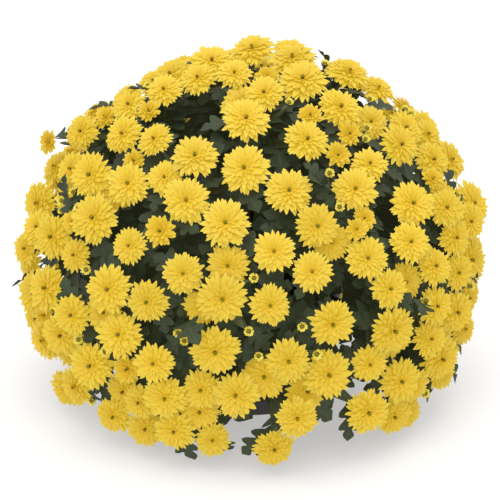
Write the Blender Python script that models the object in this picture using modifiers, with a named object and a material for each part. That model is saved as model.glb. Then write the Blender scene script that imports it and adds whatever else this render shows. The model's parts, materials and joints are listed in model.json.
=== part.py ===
"""Pot chrysanthemum in full bloom: a dome of double yellow blooms on leafy branches, in a plain nursery pot.

Run with blender --background --python part.py, or from the text editor. Units are metres and radians, +Z is up,
and the origin is the centre of the pot's base, on the surface that the pot stands on.

The plant is built the way it grows. A woody crown stands in a hole in the soil, and its arms end in forks. A leafy
branch goes on from a fork and bears leaves at its nodes. A flower spray stands on the branch's end: its pedicels
leave the spray's short axis at two levels and at the tip, and each ends in a bloom or a bud. Each leaf and each
pedicel grows out of a face of its stem, so that every branch and every spray is one closed body with no seam.

Branches, blooms, buds and leaves are placed by a seeded rule, and a piece stays only where its own mesh, made a
little larger, crosses nothing that stands there already.
"""

import math
import random
from dataclasses import dataclass, field

import bmesh
import bpy
from mathutils import Vector, noise
from mathutils.bvhtree import BVHTree

# The pot and the soil.
POT_HEIGHT = 0.135
POT_RIM_RADIUS = 0.095
POT_BASE_RADIUS = 0.070
POT_WALL = 0.0025
POT_FLOOR = 0.003
POT_LIP_HEIGHT = 0.011
POT_LIP_PROUD = 0.004
POT_LIP_STEP = 0.002
POT_FOOT_BEVEL = 0.003
POT_SIDES = 20
DRAIN_HOLES = 6
DRAIN_RADIUS = 0.0055
DRAIN_CIRCLE = 0.050
SOIL_TOP = 0.118
SOIL_MOUND = 0.006
SOIL_GRAIN = 0.0022
SOIL_GRAINS_A_METRE = 90
FIT_GAP = 0.0003
WALL_GAP = 0.00045
TRUNK_GAP = 0.0004

# The dome that the outermost blooms lie on. Its skirt is fuller at the front than at the sides and the back.
DOME_LEVEL = 0.150
DOME_RADIUS = 0.222
DOME_RISE = 0.200
DOME_DROP = 0.200
DOME_POWER = 1.85
SKIRT_POWER = 2.0
SKIRT_FRONT_POWER = 2.8
DOME_LEAN = Vector((0.004, 0, 0))
SKIRT_SHARE = -0.68
BLOOM_SHARES = (-0.60, 0.995)

# The sprays and their blooms. A tier is how many blooms, their least and most radius, their depth under the dome,
# and how near two of them may come as a share of their two radii. The strays stand out of the dome at the
# left and the upper left: each is its turn round the plant, its height, its distance from the middle and its radius.
SEED = 11
SPRAYS = 28
FIRST_TURN = math.radians(135)
TOP_SPRAYS = 4
SPRAYS_A_FORK = 3
BLOOM_TIERS = (
    (146, 0.0180, 0.0243, 0.000, 0.91),
    (40, 0.0165, 0.0195, 0.004, 0.82),
    (40, 0.0170, 0.0220, 0.017, 0.64),
    (36, 0.0105, 0.0155, 0.006, 0.80),
)
BUD_TIER = (60, 0.0042, 0.0054, 0.001, 0.95)
STRAYS = (
    (math.radians(181), 0.060, 0.212, 0.0115),
    (math.radians(184), 0.266, 0.196, 0.0125),
)
TRIES_A_TIER = 4000
DEPTH_JITTER = 0.004
FACING_JITTER = 0.30
FACING_LIGHT = Vector((0, -0.85, 0.30))
SKIRT_LIFT = 0.65
FLOOR_GAP = 0.004
POT_CLEARANCE = 0.003

# The shape of a head, as shares of its radius: four kinds of point round the rim, which are a long low petal, a
# valley, a short raised petal and a valley, then the middle and the base. Small blooms have fewer petals.
RIM_RADII = (1.00, 0.83, 0.93, 0.83)
RIM_LIFTS = (-0.05, -0.02, 0.15, -0.02)
EYE_LIFT = 0.22
BASE_DEPTH = 0.45
PETALS = 7
SMALL_BLOOM = 0.0165
SMALL_PETALS = 6
BUD_SIDES = 5
BUD_LIFT = 0.8

# Stems. Shares run from the middle of the dome to its surface, or along a branch. Leans are angles to the stem.
STEM_RADIUS = 0.0021
FORK_STEM_RADIUS = 0.0027
CALYX_RADIUS = 0.0014
SPRAY_FOOT_SHARE = 0.66
SPRAY_FROM_POT = 0.036
SPRAY_SIDES = 5
SPRAY_RINGS = (0.0, 0.011, 0.017, 0.023)
SPRAY_FOOT_RADIUS = 0.00125
SPRAY_TIP = 0.0245
PEDICEL_LEANS = (None, 0.95, 0.55, 0.22)
PEDICEL_TRIES = 3
WIDEST_TURN = math.cos(0.65)
BRANCH_SIDES = 3
BRANCH_NODES = (0.55, 0.79, 1.0)
NODE_HALF = 0.0016
BRANCH_ARCH = 0.010
BRANCH_OVER_RIM = 0.60
BENDS = 7
BEND_STEP = 0.011
FORK_RADIUS = 0.0056
FORK_CIRCLE = 0.056
FORK_HEIGHT = 0.168
TOP_FORK_HEIGHT = 0.205
ARM_RADIUS = 0.0042
ARM_WAIST = 0.0063
COLLAR_RADIUS = 0.012
COLLAR_HEIGHT = 0.138
TRUNK_RADIUS = 0.008
TRUNK_FOOT_RADIUS = 0.0068
TRUNK_TOP = 0.1276
TRUNK_FOOT = 0.085
TRUNK_SIDES = 10

# Leaves: the length of a blade, and its outline as shares of that length along and beside the midrib.
LEAF_LENGTHS = (0.048, 0.066)
LEAVES_A_BRANCH = 6
LEAF_TRIES = 30
LEAF_LEANS = (0.50, 1.60)
LEAF_SWING = 0.6
LEAF_RISE = 0.10
LEAF_DROOP = 0.20
LEAF_FOLD = 0.32
LEAF_OUTLINE = ((0.38, 0.29), (0.50, 0.16), (0.73, 0.28), (0.79, 0.13))
LEAF_CENTRE = 0.56
LEAF_THICK = 0.0012

# How much larger a piece is made while it is tried, and how far its foot is drawn in from its neighbours'.
SLACK = 0.0006
FOOT_DRAWN_IN = 0.25

LEAF_GREEN = (0.045, 0.085, 0.035, 1.0)
PETAL_YELLOW = (0.86, 0.56, 0.03, 1.0)
BARK_BROWN = (0.13, 0.10, 0.055, 1.0)
SOIL_BROWN = (0.035, 0.024, 0.016, 1.0)
POT_BLACK = (0.022, 0.022, 0.024, 1.0)

GOLDEN_ANGLE = math.pi * (3 - math.sqrt(5))
UP = Vector((0, 0, 1))


def mean(points):
    return sum(points, Vector()) / len(points)


def facing(corners):
    """The direction that a face's corners look in when they run anticlockwise."""
    return (corners[1] - corners[0]).cross(corners[2] - corners[0]).normalized()


def ring_at(centre, axis, towards, radii, lifts=(0.0,), count=None):
    """Corners round an axis, anticlockwise from its far end, the first one towards a direction."""
    side = (towards - axis * towards.dot(axis)).normalized()
    other = axis.cross(side)
    count = count or len(radii)
    ring = []
    for i in range(count):
        turn = 2 * math.pi * i / count
        out = side * math.cos(turn) + other * math.sin(turn)
        ring.append(centre + out * radii[i % len(radii)] + axis * lifts[i % len(lifts)])
    return ring


def ring_on(bm, ring, centre, axis, radii, lifts=(0.0,), count=None):
    """New vertices round an axis, lined up with the ring that they follow so that no stem is twisted."""
    towards = ring[0].co - mean([v.co for v in ring])
    return [bm.verts.new(p) for p in ring_at(centre, axis, towards, radii, lifts, count)]


def loft(bm, low, high):
    """Triangles between two rings that run the same way round, matched by their share of the turn."""
    i = j = 0
    n, m = len(low), len(high)
    while i < n or j < m:
        if i < n and (j == m or (i + 0.5) / n <= (j + 0.5) / m):
            bm.faces.new((low[i], low[(i + 1) % n], high[j % m]))
            i += 1
        else:
            bm.faces.new((low[i % n], high[(j + 1) % m], high[j]))
            j += 1


def fan(bm, ring, point):
    tip = bm.verts.new(point)
    for a, b in zip(ring, ring[1:] + ring[:1]):
        bm.faces.new((a, b, tip))


@dataclass
class Head:
    """A bloom or a bud on its pedicel: its middle, the way it faces and its radius."""

    centre: Vector
    axis: Vector
    radius: float
    bud: bool = False

    @property
    def base(self):
        return self.centre - self.axis * self.radius * (1 if self.bud else BASE_DEPTH)

    def grow(self, bm, ring, slack=0.0):
        """Grows the pedicel on an open ring, and the head on the pedicel."""
        reach = self.radius + slack
        neck = ring_on(bm, ring, self.base - self.axis * slack, self.axis, [CALYX_RADIUS + slack] * 3)
        loft(bm, ring, neck)
        if self.bud:
            rim = ring_on(bm, neck, self.centre, self.axis, [reach] * BUD_SIDES)
            lift = reach * BUD_LIFT
        else:
            petals = PETALS if self.radius > SMALL_BLOOM else SMALL_PETALS
            radii = [share * reach for share in RIM_RADII]
            lifts = [share * reach for share in RIM_LIFTS]
            rim = ring_on(bm, neck, self.centre, self.axis, radii, lifts, 2 * petals)
            lift = reach * EYE_LIFT + slack
        loft(bm, neck, rim)
        fan(bm, rim, self.centre + self.axis * lift)


@dataclass
class Leaf:
    """A leaf: where it leaves its stem, which way it runs, its upper side and its length."""

    base: Vector
    along: Vector
    upper: Vector
    length: float

    def midrib(self, share):
        """A point of the midrib, which rises a little and then droops towards the tip."""
        lift = LEAF_RISE * math.sin(math.pi * share) - LEAF_DROOP * share * share
        return self.base + (self.along * share + self.upper * lift) * self.length

    def grow(self, bm, ring, slack=0.0):
        """Grows the blade on an open ring of four: facets over and under its outline, thickest at the midrib."""
        turns = [ring[i:] + ring[:i] for i in range(4)]
        ring = max(turns, key=lambda t: (t[2].co + t[3].co - t[0].co - t[1].co).dot(self.upper))
        low_left, low_right, high_right, high_left = ring
        side = self.upper.cross(self.along)
        edges = []
        for out in (-side, side):
            lean = out + self.upper * LEAF_FOLD
            points = [self.midrib(x) + lean * (y * self.length + slack) for x, y in LEAF_OUTLINE]
            edges.append([bm.verts.new(p) for p in points])
        tip = bm.verts.new(self.midrib(1.0) + self.along * slack)
        outline = [high_left, *edges[0], tip, *reversed(edges[1]), high_right]
        middle = self.midrib(LEAF_CENTRE)
        half = self.upper * (LEAF_THICK / 2 + slack)
        fan(bm, outline, middle + half)
        fan(bm, [*reversed(outline), low_left, low_right], middle - half)


def face_of(rings, tip, level, side):
    """One face between two rings, or between the last ring and the tip."""
    following = (side + 1) % len(rings[level])
    low = [rings[level][side], rings[level][following]]
    if level == len(rings) - 1:
        return [*low, tip]
    return [*low, rings[level + 1][following], rings[level + 1][side]]


@dataclass(eq=False)
class Stem:
    """A stem: rings of corners from foot to end, a pointed or a flat end, and what grows on its faces."""

    rings: list
    tip: Vector = None
    growing: dict = field(default_factory=dict)

    def corners(self, level, side):
        """The corners of one face, anticlockwise from outside."""
        return face_of(self.rings, self.tip, level, side)

    @property
    def foot(self):
        return mean(self.rings[0])

    @property
    def axis(self):
        """The direction of the stem's last segment."""
        return (mean(self.rings[-1]) - mean(self.rings[-2])).normalized()

    def free_places(self, leans):
        """Each free face that can bear a pedicel, with the direction in which one leaves it by nature."""
        places = {}
        for level, lean in enumerate(leans):
            for side in range(len(self.rings[0])):
                if lean is not None and (level, side) not in self.growing:
                    out = mean(self.corners(level, side)) - mean(self.rings[level])
                    out = (out - self.axis * out.dot(self.axis)).normalized()
                    places[level, side] = out * math.sin(lean) + self.axis * math.cos(lean)
        return places

    def grow(self, bm, ring=None, slack=0.0):
        """Builds the stem, with the piece that grows on each face that bears one."""
        rings = []
        for corners in self.rings:
            middle = mean(corners)
            rings.append([bm.verts.new(c + (c - middle).normalized() * slack) for c in corners])
        bm.faces.new(rings[0][::-1])
        tip = None
        if self.tip is None:
            bm.faces.new(rings[-1])
        else:
            tip = bm.verts.new(self.tip)
        for level in range(len(rings) - (self.tip is None)):
            for side in range(len(rings[0])):
                face = face_of(rings, tip, level, side)
                piece = self.growing.get((level, side))
                if piece:
                    piece.grow(bm, face)
                else:
                    bm.faces.new(face)


class Thicket:
    """The stems that stand so far with all that grows on them, each as a search tree and the ball that holds it."""

    def __init__(self):
        self.standing = {}

    def crossed_by(self, bm, owner):
        """Whether a mesh crosses what stands, apart from its own stem. Gives its tree too."""
        centre, reach = ball_round(bm)
        tree = BVHTree.FromBMesh(bm)
        for stem, (other_centre, other_reach, other) in self.standing.items():
            near = (other_centre - centre).length < reach + other_reach
            if near and stem is not owner and tree.overlap(other):
                return True, tree
        return False, tree

    def takes(self, piece, corners, owner):
        """Whether a piece, made a little larger on a foot drawn in, crosses no other stem, the pot or the floor."""
        bm = bmesh.new()
        middle = mean(corners)
        off = facing(corners) * 2 * SLACK
        piece.grow(bm, [bm.verts.new(c.lerp(middle, FOOT_DRAWN_IN) + off) for c in corners], SLACK)
        clear = all(clears_pot(v.co) for v in bm.verts) and not self.crossed_by(bm, owner)[0]
        bm.free()
        return clear

    def stand(self, stem, slack=0.0):
        """Takes a stem in, or takes it in anew, unless it runs into itself, another stem, the pot or the floor."""
        bm = bmesh.new()
        stem.grow(bm, slack=slack)
        bmesh.ops.triangulate(bm, faces=bm.faces)
        bm.faces.ensure_lookup_table()
        corners = [{v.index for v in f.verts} for f in bm.faces]
        crossed, tree = self.crossed_by(bm, stem)
        crossed = crossed or any(not corners[a] & corners[b] for a, b in tree.overlap(tree))
        clear = not crossed and all(clears_pot(v.co) for v in bm.verts)
        if clear:
            self.standing[stem] = (*ball_round(bm), tree)
        bm.free()
        return clear


def ball_round(bm):
    points = [v.co for v in bm.verts]
    centre = mean(points)
    return centre, max((p - centre).length for p in points)


def grows(stem, place, piece, thicket):
    """Sets a piece on a free face of a stem if there is room for it."""
    if not thicket.takes(piece, stem.corners(*place), stem):
        return False
    stem.growing[place] = piece
    if thicket.stand(stem):
        return True
    del stem.growing[place]
    return False


def clears_pot(point):
    above = point.z > POT_HEIGHT + POT_CLEARANCE
    beside = math.hypot(point.x, point.y) > POT_RIM_RADIUS + POT_LIP_PROUD + POT_CLEARANCE
    return point.z > FLOOR_GAP and (above or beside)


class Knob:
    """A node of the crown: an icosahedron turned so that one of its faces looks in a given direction."""

    def __init__(self, centre, outward, radius):
        bm = bmesh.new()
        bmesh.ops.create_icosphere(bm, subdivisions=1, radius=radius)
        bm.faces.ensure_lookup_table()
        turn = bm.faces[0].normal.rotation_difference(outward)
        bmesh.ops.rotate(bm, verts=bm.verts, matrix=turn.to_matrix())
        bmesh.ops.translate(bm, verts=bm.verts, vec=centre)
        self.points = [v.co.copy() for v in bm.verts]
        self.faces = [[v.index for v in f.verts] for f in bm.faces]
        self.seats = []
        bm.free()

    @property
    def centre(self):
        return mean(self.points)

    def corners(self, face):
        return [self.points[i] for i in face]

    def face_towards(self, direction):
        """The face that looks most nearly in a direction, apart from those that a branch stands on."""
        free = [face for face in self.faces if face not in self.seats]
        return max(free, key=lambda face: facing(self.corners(face)).dot(direction))

    def open_towards(self, direction):
        """Takes a face out, for an arm to be joined to its edge."""
        face = self.face_towards(direction)
        self.faces.remove(face)
        return face


def dome_point(share, turn, depth=0.0):
    """A point on the dome and the dome's outward direction there. Share is 1 at the top and 0 at the widest level."""
    out = Vector((math.cos(turn), math.sin(turn), 0))
    skirt_power = SKIRT_POWER + (SKIRT_FRONT_POWER - SKIRT_POWER) * max(0.0, -out.y)
    height, power = (DOME_RISE, DOME_POWER) if share > 0 else (DOME_DROP, skirt_power)
    reach = max(0.0, 1 - abs(share) ** power) ** (1 / power)
    point = out * (DOME_RADIUS * reach) + UP * (DOME_LEVEL + share * height) + DOME_LEAN * max(0.0, share)
    normal = (out * (reach / DOME_RADIUS) + UP * (share / height)).normalized()
    return point - normal * depth, normal


def make_spray_stems():
    """The sprays' axes: spread over the dome by a Fibonacci spiral, and kept clear of the pot."""
    stems = []
    for k in range(SPRAYS):
        share = 1 - (1 - SKIRT_SHARE) * (k + 0.5) / SPRAYS
        point, normal = dome_point(share, FIRST_TURN + k * GOLDEN_ANGLE)
        foot = UP * DOME_LEVEL + (point - UP * DOME_LEVEL) * SPRAY_FOOT_SHARE
        flat = Vector((foot.x, foot.y, 0))
        if share < 0 and flat.length < POT_RIM_RADIUS + SPRAY_FROM_POT:
            foot += flat.normalized() * (POT_RIM_RADIUS + SPRAY_FROM_POT - flat.length)
        axis = (normal + UP * max(0.0, -normal.z)).normalized()
        side = axis.orthogonal()
        radii = [SPRAY_FOOT_RADIUS] + [STEM_RADIUS] * (len(SPRAY_RINGS) - 1)
        rings = [ring_at(foot + axis * s, axis, side, [r] * SPRAY_SIDES) for s, r in zip(SPRAY_RINGS, radii)]
        stems.append(Stem(rings, foot + axis * SPRAY_TIP))
    return stems


def crown_knobs(sprays):
    """A fork over the middle for the top sprays, and a ring of forks, each for the sprays beside it."""
    members = [list(range(TOP_SPRAYS))]
    places = [UP * TOP_FORK_HEIGHT]
    feet = [stem.foot for stem in sprays]
    ring = sorted(range(TOP_SPRAYS, SPRAYS), key=lambda k: math.atan2(feet[k].y, feet[k].x))
    for start in range(0, len(ring), SPRAYS_A_FORK):
        group = ring[start : start + SPRAYS_A_FORK]
        middle = mean([feet[k] for k in group])
        out = Vector((middle.x, middle.y, 0)).normalized()
        members.append(group)
        places.append(out * FORK_CIRCLE + UP * FORK_HEIGHT)
    collar = UP * COLLAR_HEIGHT
    return [(Knob(p, (collar - p).normalized(), FORK_RADIUS), group) for p, group in zip(places, members)]


def arc(a, b, c, share):
    return a.lerp(b, share).lerp(b.lerp(c, share), share)


def branch_stem(seat, outward, end, axis, bend):
    """A branch from its seat on a fork to a spray's foot, by way of a bend, with a short segment at each node."""
    side = outward.orthogonal()
    rings = [ring_at(seat, outward, side, [FORK_STEM_RADIUS] * BRANCH_SIDES)]
    for share in BRANCH_NODES:
        before = arc(seat, bend, end, share - 0.02)
        along = (arc(seat, bend, end, share) - before).normalized() if share < 1 else axis
        point = arc(seat, bend, end, share) - along * (NODE_HALF if share == 1 else 0)
        radius = FORK_STEM_RADIUS + (STEM_RADIUS - FORK_STEM_RADIUS) * share
        for step in (-NODE_HALF, NODE_HALF):
            rings.append(ring_at(point + along * step, along, side, [radius] * BRANCH_SIDES))
        side = rings[-1][0] - mean(rings[-1])
    return Stem(rings)


def plan_branch(spray, knob, thicket):
    """Bends a branch up, down or sideways until it clears what stands."""
    end = spray.foot - spray.axis * FIT_GAP
    out = Vector((end.x, end.y, 0)).normalized()
    low = max(0.0, knob.centre.z - end.z)
    easy = (knob.centre + end) / 2 + UP * (BRANCH_ARCH + BRANCH_OVER_RIM * low)
    steps = [(aside, higher) for aside in range(-BENDS, BENDS + 1) for higher in range(-2, BENDS + 1)]
    for aside, higher in sorted(steps, key=lambda step: abs(step[0]) + abs(step[1])):
        bend = easy + UP.cross(out) * (aside * BEND_STEP) + UP * (higher * BEND_STEP)
        face = knob.face_towards((bend - knob.centre).normalized())
        outward = facing(knob.corners(face))
        seat = mean(knob.corners(face)) + outward * FIT_GAP
        stem = branch_stem(seat, outward, end, spray.axis, bend)
        if thicket.stand(stem, 2 * SLACK):
            knob.seats.append(face)
            return stem
    raise ValueError("a branch finds no way to its spray")


def plan_branches(sprays, knobs, thicket):
    """One branch to each spray. The low branches go first, because the pot's rim leaves them least room."""
    jobs = sorted(((k, knob) for knob, group in knobs for k in group), key=lambda job: sprays[job[0]].foot.z)
    branches = {k: plan_branch(sprays[k], knob, thicket) for k, knob in jobs}
    return [branches[k] for k in range(SPRAYS)]


def bloom_axis(normal, rng):
    """The way a bloom faces: outward, the low ones turned up, and those that the light reaches turned to it."""
    lean = Vector([rng.uniform(-1, 1) for _ in range(3)]) * FACING_JITTER
    lit = 1 - max(0.0, normal.y)
    return (normal + UP * SKIRT_LIFT * max(0.0, -normal.z) + FACING_LIGHT * lit + lean).normalized()


def set_head(head, sprays, thicket):
    """Sets a head on the nearest spray, on a free face that leads to it with no sharp turn of the pedicel."""
    middle = UP * DOME_LEVEL
    way = (head.centre - middle).normalized()
    stem = max(sprays, key=lambda s: way.dot((s.foot - middle).normalized()))
    places = stem.free_places(PEDICEL_LEANS)
    pull = (head.base - stem.tip).normalized()
    for place in sorted(places, key=lambda p: -places[p].dot(pull))[:PEDICEL_TRIES]:
        way = (head.base - mean(stem.corners(*place))).normalized()
        if way.dot(places[place]) > WIDEST_TURN and grows(stem, place, head, thicket):
            return True
    return False


def place_heads(rng, sprays, thicket):
    """Sets the strays, then throws heads at the dome tier by tier, and keeps those that find room."""
    heads = []
    for turn, height, reach, radius in STRAYS:
        out = Vector((math.cos(turn), math.sin(turn), 0))
        head = Head(out * reach + UP * height, bloom_axis(out, rng), radius)
        if set_head(head, sprays, thicket):
            heads.append(head)
    for tier in (*BLOOM_TIERS, BUD_TIER):
        count, least, most, depth, spacing = tier
        wanted = len(heads) + count
        for _ in range(TRIES_A_TIER):
            share = rng.uniform(*BLOOM_SHARES)
            turn = rng.uniform(0, 2 * math.pi)
            point, normal = dome_point(share, turn, depth + rng.uniform(-1, 1) * DEPTH_JITTER)
            head = Head(point, bloom_axis(normal, rng), rng.uniform(least, most), tier is BUD_TIER)
            near = any((point - h.centre).length < (head.radius + h.radius) * spacing for h in heads)
            if not near and set_head(head, sprays, thicket):
                heads.append(head)
            if len(heads) == wanted:
                break


def throw_leaf(rng, stem, level, side):
    """A leaf that leaves one face of a stem at a random lean and swing."""
    corners = stem.corners(level, side)
    axis = (mean(stem.rings[level + 1]) - mean(stem.rings[level])).normalized()
    out = facing(corners)
    lean = rng.uniform(*LEAF_LEANS)
    swing = rng.uniform(-LEAF_SWING, LEAF_SWING)
    aside = out * math.cos(swing) + axis.cross(out) * math.sin(swing)
    along = (aside * math.sin(lean) + axis * math.cos(lean)).normalized()
    upper = axis + UP / 2
    upper = (upper - along * upper.dot(along)).normalized()
    return Leaf(mean(corners), along, upper, rng.uniform(*LEAF_LENGTHS))


def place_leaves(rng, branches, thicket):
    """Goes round each branch's nodes from its end down, and keeps the leaves that cross nothing."""
    levels = [2 * i + 1 for i in reversed(range(len(BRANCH_NODES)))]
    places = [(level, side) for level in levels for side in range(BRANCH_SIDES)]
    for stem in branches:
        for place in places:
            if len(stem.growing) < LEAVES_A_BRANCH:
                throws = (throw_leaf(rng, stem, *place) for _ in range(LEAF_TRIES))
                any(grows(stem, place, leaf, thicket) for leaf in throws)


def material(name, colour, roughness):
    made = bpy.data.materials.new(name)
    made.use_nodes = True
    shader = made.node_tree.nodes["Principled BSDF"]
    shader.inputs["Base Color"].default_value = colour
    shader.inputs["Roughness"].default_value = roughness
    return made


def object_from(bm, name, collection, surface):
    bmesh.ops.recalc_face_normals(bm, faces=bm.faces)
    mesh = bpy.data.meshes.new(name)
    bm.to_mesh(mesh)
    bm.free()
    mesh.materials.append(surface)
    made = bpy.data.objects.new(name, mesh)
    collection.objects.link(made)
    return made


def make_stem(name, stem, collection, surface):
    bm = bmesh.new()
    stem.grow(bm)
    return object_from(bm, name, collection, surface)


@dataclass
class Arm:
    """A thick stem of the crown, from an opened face of the collar to the opened back of a fork."""

    knob: Knob
    foot: list
    head: list
    away: Vector


def open_arm(collar, knob):
    away = (knob.centre - collar.centre).normalized()
    return Arm(knob, collar.open_towards(away), knob.open_towards(-away), away)


def make_crown(collar, arms, collection, surface):
    """The woody base of the plant: a trunk in the soil, the collar on it, and arms that end in forks."""
    bm = bmesh.new()
    base = [bm.verts.new(p) for p in collar.points]
    ring = [base[i] for i in collar.open_towards(-UP)]
    for face in collar.faces:
        bm.faces.new([base[i] for i in face])
    for height, radius in ((TRUNK_TOP, TRUNK_RADIUS), (TRUNK_FOOT, TRUNK_FOOT_RADIUS)):
        low = [bm.verts.new(p) for p in ring_at(UP * height, -UP, Vector((0, 1, 0)), [radius] * TRUNK_SIDES)]
        loft(bm, nearest_turn(ring, low[0].co), low)
        ring = low
    bm.faces.new(ring)
    for arm in arms:
        top = [bm.verts.new(p) for p in arm.knob.points]
        for face in arm.knob.faces:
            bm.faces.new([top[i] for i in face])
        foot = [base[i] for i in arm.foot]
        centre = mean([v.co for v in foot]) + arm.away * ARM_WAIST
        waist = ring_on(bm, foot, centre, arm.away, [ARM_RADIUS] * 3)
        loft(bm, foot, waist)
        head = [top[i] for i in reversed(arm.head)]
        shift = mean([v.co for v in head]) - centre
        loft(bm, waist, nearest_turn(head, (waist[0].co + waist[1].co) / 2 + shift))
    return object_from(bm, "crown", collection, surface)


def nearest_turn(ring, point):
    """The ring started from the corner that lies nearest to a point."""
    first = min(range(len(ring)), key=lambda i: (ring[i].co - point).length)
    return ring[first:] + ring[:first]


def move_to(made, collection):
    for owner in list(made.users_collection):
        owner.objects.unlink(made)
    collection.objects.link(made)


def turned(name, profile, collection, surface):
    """A solid of revolution from a profile of radius and height that runs down its outer side."""
    mesh = bpy.data.meshes.new(name)
    mesh.from_pydata([(r, 0, z) for r, z in profile], [(i, i + 1) for i in range(len(profile) - 1)], [])
    made = bpy.data.objects.new(name, mesh)
    collection.objects.link(made)
    screw = made.modifiers.new("turn", "SCREW")
    screw.steps = screw.render_steps = POT_SIDES
    screw.use_merge_vertices = True
    screw.merge_threshold = 0.0001
    graph = bpy.context.evaluated_depsgraph_get()
    made.data = bpy.data.meshes.new_from_object(made.evaluated_get(graph))
    made.modifiers.clear()
    made.data.materials.append(surface)
    return made


def cut_cone(target, name, place, sides, low, high, depth, cutters):
    """Cuts a round hole, given by the cone that stands in it."""
    bpy.ops.mesh.primitive_cone_add(vertices=sides, radius1=low, radius2=high, depth=depth, location=place)
    hole = bpy.context.object
    hole.name = name
    hole.hide_render = True
    hole.display_type = "WIRE"
    move_to(hole, cutters)
    cut = target.modifiers.new(name, "BOOLEAN")
    cut.operation = "DIFFERENCE"
    cut.object = hole


def pot_radius(z):
    """The radius of the pot's outside at a height."""
    return POT_BASE_RADIUS + (POT_RIM_RADIUS - POT_BASE_RADIUS) * z / POT_HEIGHT


def make_pot(collection, cutters, surface):
    """A tapered nursery pot with a stepped lip and drainage holes round its floor."""
    lip = POT_HEIGHT - POT_LIP_HEIGHT
    profile = [
        (0, POT_FLOOR),
        (pot_radius(POT_FLOOR) - POT_WALL, POT_FLOOR),
        (pot_radius(lip) - POT_WALL, lip),
        (POT_RIM_RADIUS, POT_HEIGHT),
        (POT_RIM_RADIUS + POT_LIP_PROUD, POT_HEIGHT),
        (pot_radius(lip) + POT_LIP_PROUD, lip),
        (pot_radius(lip - POT_LIP_STEP), lip - POT_LIP_STEP),
        (pot_radius(POT_FOOT_BEVEL), POT_FOOT_BEVEL),
        (POT_BASE_RADIUS - POT_FOOT_BEVEL, 0),
        (0, 0),
    ]
    pot = turned("nursery_pot", profile, collection, surface)
    for i in range(DRAIN_HOLES):
        turn = 2 * math.pi * i / DRAIN_HOLES
        place = (DRAIN_CIRCLE * math.cos(turn), DRAIN_CIRCLE * math.sin(turn), POT_FLOOR / 2)
        cut_cone(pot, f"drain_hole_{i + 1}", place, 8, DRAIN_RADIUS, DRAIN_RADIUS, POT_FLOOR * 4, cutters)


def make_soil(collection, cutters, surface):
    """The potting soil: it fills the pot, mounds a little to the middle, and has a plain hole for the trunk."""
    edge = pot_radius(SOIL_TOP) - POT_WALL - WALL_GAP
    floor = POT_FLOOR + FIT_GAP
    foot = pot_radius(POT_FLOOR) - POT_WALL - WALL_GAP
    mound = [(radius, SOIL_TOP + SOIL_MOUND * share) for radius, share in ((0, 1), (0.03, 0.9), (0.06, 0.5))]
    soil = turned("potting_soil", [*mound, (edge, SOIL_TOP), (foot, floor), (0, floor)], collection, surface)
    bm = bmesh.new()
    bm.from_mesh(soil.data)
    for v in bm.verts:
        if v.co.z > SOIL_TOP + 0.001:
            v.co.z += noise.noise(v.co * SOIL_GRAINS_A_METRE) * SOIL_GRAIN
    bmesh.ops.triangulate(bm, faces=bm.faces)
    bm.to_mesh(soil.data)
    bm.free()
    depth = TRUNK_TOP - TRUNK_FOOT + TRUNK_GAP
    middle = TRUNK_TOP - depth / 2
    low, high = TRUNK_FOOT_RADIUS + TRUNK_GAP, TRUNK_RADIUS + TRUNK_GAP
    cut_cone(soil, "trunk_hole", (0, 0, middle), TRUNK_SIDES, low, high, depth, cutters)


def new_collection(name):
    made = bpy.data.collections.new(name)
    bpy.context.scene.collection.children.link(made)
    return made


def main():
    for old in list(bpy.data.objects):
        bpy.data.objects.remove(old)
    plant = new_collection("pot_chrysanthemum")
    cutters = new_collection("cutters")

    rng = random.Random(SEED)
    thicket = Thicket()
    sprays = make_spray_stems()
    for stem in sprays:
        thicket.stand(stem)
    collar = Knob(UP * COLLAR_HEIGHT, UP, COLLAR_RADIUS)
    knobs = crown_knobs(sprays)
    arms = [open_arm(collar, knob) for knob, _ in knobs]
    branches = plan_branches(sprays, knobs, thicket)
    place_heads(rng, sprays, thicket)
    place_leaves(rng, branches, thicket)

    make_pot(plant, cutters, material("pot_black", POT_BLACK, 0.5))
    make_soil(plant, cutters, material("soil_brown", SOIL_BROWN, 0.95))
    make_crown(collar, arms, plant, material("bark_brown", BARK_BROWN, 0.8))
    leaf_green = material("leaf_green", LEAF_GREEN, 0.55)
    petal_yellow = material("petal_yellow", PETAL_YELLOW, 0.6)
    for k in range(SPRAYS):
        make_stem(f"leafy_branch_{k + 1:02d}", branches[k], plant, leaf_green)
        make_stem(f"flower_spray_{k + 1:02d}", sprays[k], plant, petal_yellow)


main()
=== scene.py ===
"""The pot chrysanthemum as it looks: double yellow blooms, lobed leaves, stalks, soil and a plain pot.

Each fine piece takes its place from the solid that it stands for. A bloom, a bud or a leaf is found on the
solid by the number of edges that meet at its middle, and the fine one is set there at the same size and
facing the same way. Lengths are in metres and angles in radians.
"""

import json
import logging
import math
import random
from dataclasses import dataclass, field
from enum import Enum, IntEnum

import bmesh
import bpy
from mathutils import Matrix, Vector, noise

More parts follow.
